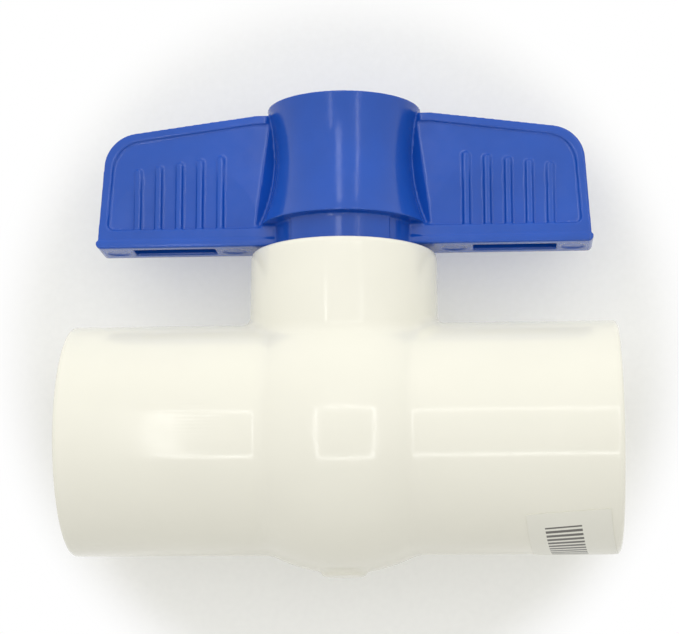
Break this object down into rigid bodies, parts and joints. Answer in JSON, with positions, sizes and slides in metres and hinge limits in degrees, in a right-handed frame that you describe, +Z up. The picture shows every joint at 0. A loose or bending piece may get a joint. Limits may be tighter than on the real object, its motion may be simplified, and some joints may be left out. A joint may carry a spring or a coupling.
{
  "type": "ball valve",
  "caption": "Compact one-piece plastic ball valve with two pipe sockets and a quarter-turn handle with two wings.",
  "frame": {"origin": "centre of the ball, where the pipe's axis meets the stem's axis", "axes": "+X along the pipe towards the outlet socket, +Y across the pipe, +Z up the stem towards the handle"},
  "size_m": [0.098, 0.048, 0.0856],
  "materials": {
    "body_plastic": "glossy moulded, warm white",
    "inner_plastic": "smooth moulded, warm white",
    "seat_plastic": "waxy white",
    "seal_rubber": "matte black",
    "label_film": "satin white film",
    "handle_plastic": "glossy moulded, medium blue",
    "fastener_steel": "bright zinc"
  },
  "bodies": {
    "body": {"valve_body": "body_plastic", "inlet_ball_cage": "inner_plastic", "outlet_ball_cage": "inner_plastic", "inlet_seat_ring": "seat_plastic", "outlet_seat_ring": "seat_plastic", "inlet_seat_cushion": "seal_rubber", "outlet_seat_cushion": "seal_rubber", "label_film": "label_film"},
    "handle": {"handle": "handle_plastic", "hub_cap": "handle_plastic", "handle_screw": "fastener_steel", "screw_washer": "fastener_steel", "stem": "inner_plastic", "stem_thrust_washer": "seat_plastic", "stem_o_ring_lower": "seal_rubber", "stem_o_ring_upper": "seal_rubber"},
    "ball": {"ball": "inner_plastic"}
  },
  "joints": [
    {"name": "handle_turn", "type": "hinge", "parent": "body", "child": "handle", "pos_m": [0, 0, 0], "axis": [0, 0, 1], "range_deg": [-90, 0]},
    {"name": "ball_turn", "type": "hinge", "parent": "body", "child": "ball", "pos_m": [0, 0, 0], "axis": [0, 0, 1], "range_deg": [-90, 0]}
  ],
  "couplings": [
    {"joint": "ball_turn", "follows": "handle_turn", "ratio": 1}
  ]
}
